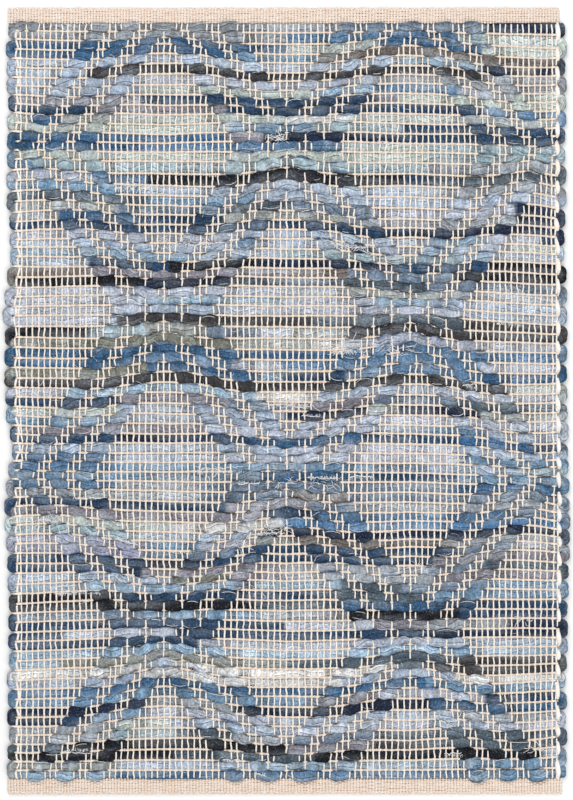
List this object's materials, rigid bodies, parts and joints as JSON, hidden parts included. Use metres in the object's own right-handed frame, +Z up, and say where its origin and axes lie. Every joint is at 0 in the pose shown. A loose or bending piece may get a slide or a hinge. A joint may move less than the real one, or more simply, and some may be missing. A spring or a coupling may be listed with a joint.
{
  "type": "rag rug",
  "caption": "Flat handwoven rag rug: folded denim strips on a cream cotton warp, in a lattice of diamonds, with a cotton heading at each end.",
  "frame": {"origin": "centre of the rug's underside, on the floor", "axes": "+Z up through the cloth, +Y along the length towards the top heading of the picture, +X to the right of the picture"},
  "size_m": [0.6179, 0.854, 0.0086],
  "materials": {
    "denim_rag": "woven from folded strips of used denim in many blues and greys, matt",
    "cotton_heading": "undyed cream cotton yarn, plain weave, matt"
  },
  "bodies": {
    "root": {"rag_field": "denim_rag", "heading_top": "cotton_heading", "heading_bottom": "cotton_heading"}
  },
  "joints": []
}
